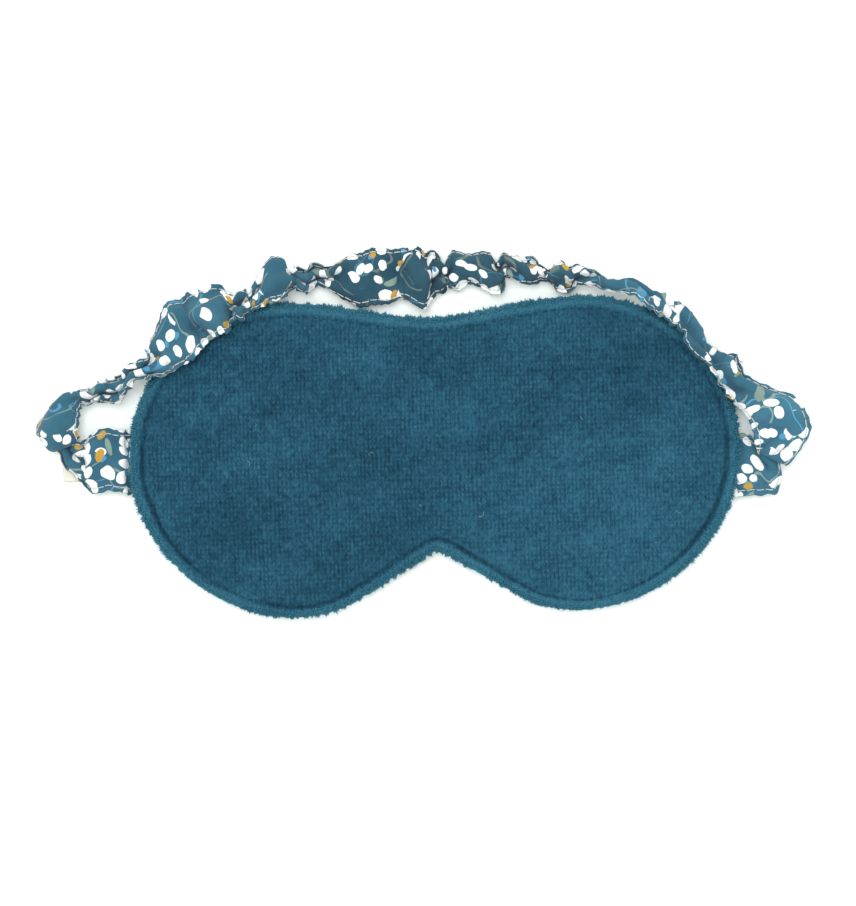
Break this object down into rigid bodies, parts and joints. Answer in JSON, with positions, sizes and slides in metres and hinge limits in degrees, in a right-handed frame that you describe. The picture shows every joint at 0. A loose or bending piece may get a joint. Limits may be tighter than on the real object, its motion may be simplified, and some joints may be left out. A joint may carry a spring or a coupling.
{
  "type": "eye patch",
  "caption": "Padded fabric sleep mask in a two-lobed shape with a nose notch, a terry skin side, a printed outer side and a gathered elastic head strap.",
  "frame": {"origin": "on the surface that the mask lies on, under the middle of the mask", "axes": "+X along the mask's width, +Y towards its brow edge, +Z out of its skin side"},
  "size_m": [0.2573, 0.1237, 0.0134],
  "materials": {
    "terry": "velour terry pile",
    "printed_cotton": "plain weave, printed",
    "wadding": "polyester wadding",
    "lining": "plain black weave",
    "thread_white": "spun thread",
    "thread_teal": "spun thread",
    "elastic": "knitted elastic",
    "label_tape": "cotton tape"
  },
  "bodies": {
    "mask": {"terry_panel": "terry", "wadding": "wadding", "light_block_lining": "lining", "print_panel": "printed_cotton", "edge_seam_thread": "thread_teal", "topstitch_needle_thread": "thread_teal", "topstitch_bobbin_thread": "thread_teal", "care_label": "label_tape", "casing_end_left": "printed_cotton", "elastic_end_left": "elastic", "casing_end_stitch_left": "thread_white", "strap_tack_left": "thread_white", "casing_end_right": "printed_cotton", "elastic_end_right": "elastic", "casing_end_stitch_right": "thread_white", "strap_tack_right": "thread_white"},
    "strap": {"casing_leg_left": "printed_cotton", "elastic_leg_left": "elastic", "brow_stitch_leg_left": "thread_white", "face_stitch_leg_left": "thread_white", "casing_leg_right": "printed_cotton", "elastic_leg_right": "elastic", "brow_stitch_leg_right": "thread_white", "face_stitch_leg_right": "thread_white"},
    "strap_bow": {"casing_bow": "printed_cotton", "elastic_bow": "elastic", "brow_stitch_bow": "thread_white", "face_stitch_bow": "thread_white"}
  },
  "joints": [
    {"name": "strap_swing", "type": "hinge", "parent": "mask", "child": "strap", "pos_m": [0, -0.01345, 0.001], "axis": [0.9996, -0.0297, 0], "range_deg": [0, 150]},
    {"name": "strap_stretch", "type": "slide", "parent": "strap", "child": "strap_bow", "axis": [0.0297, 0.9996, 0], "range_m": [0, 0.08], "stiffness_N_per_m": 40, "deforming": ["casing_leg_left", "elastic_leg_left", "brow_stitch_leg_left", "face_stitch_leg_left", "casing_leg_right", "elastic_leg_right", "brow_stitch_leg_right", "face_stitch_leg_right"]}
  ]
}
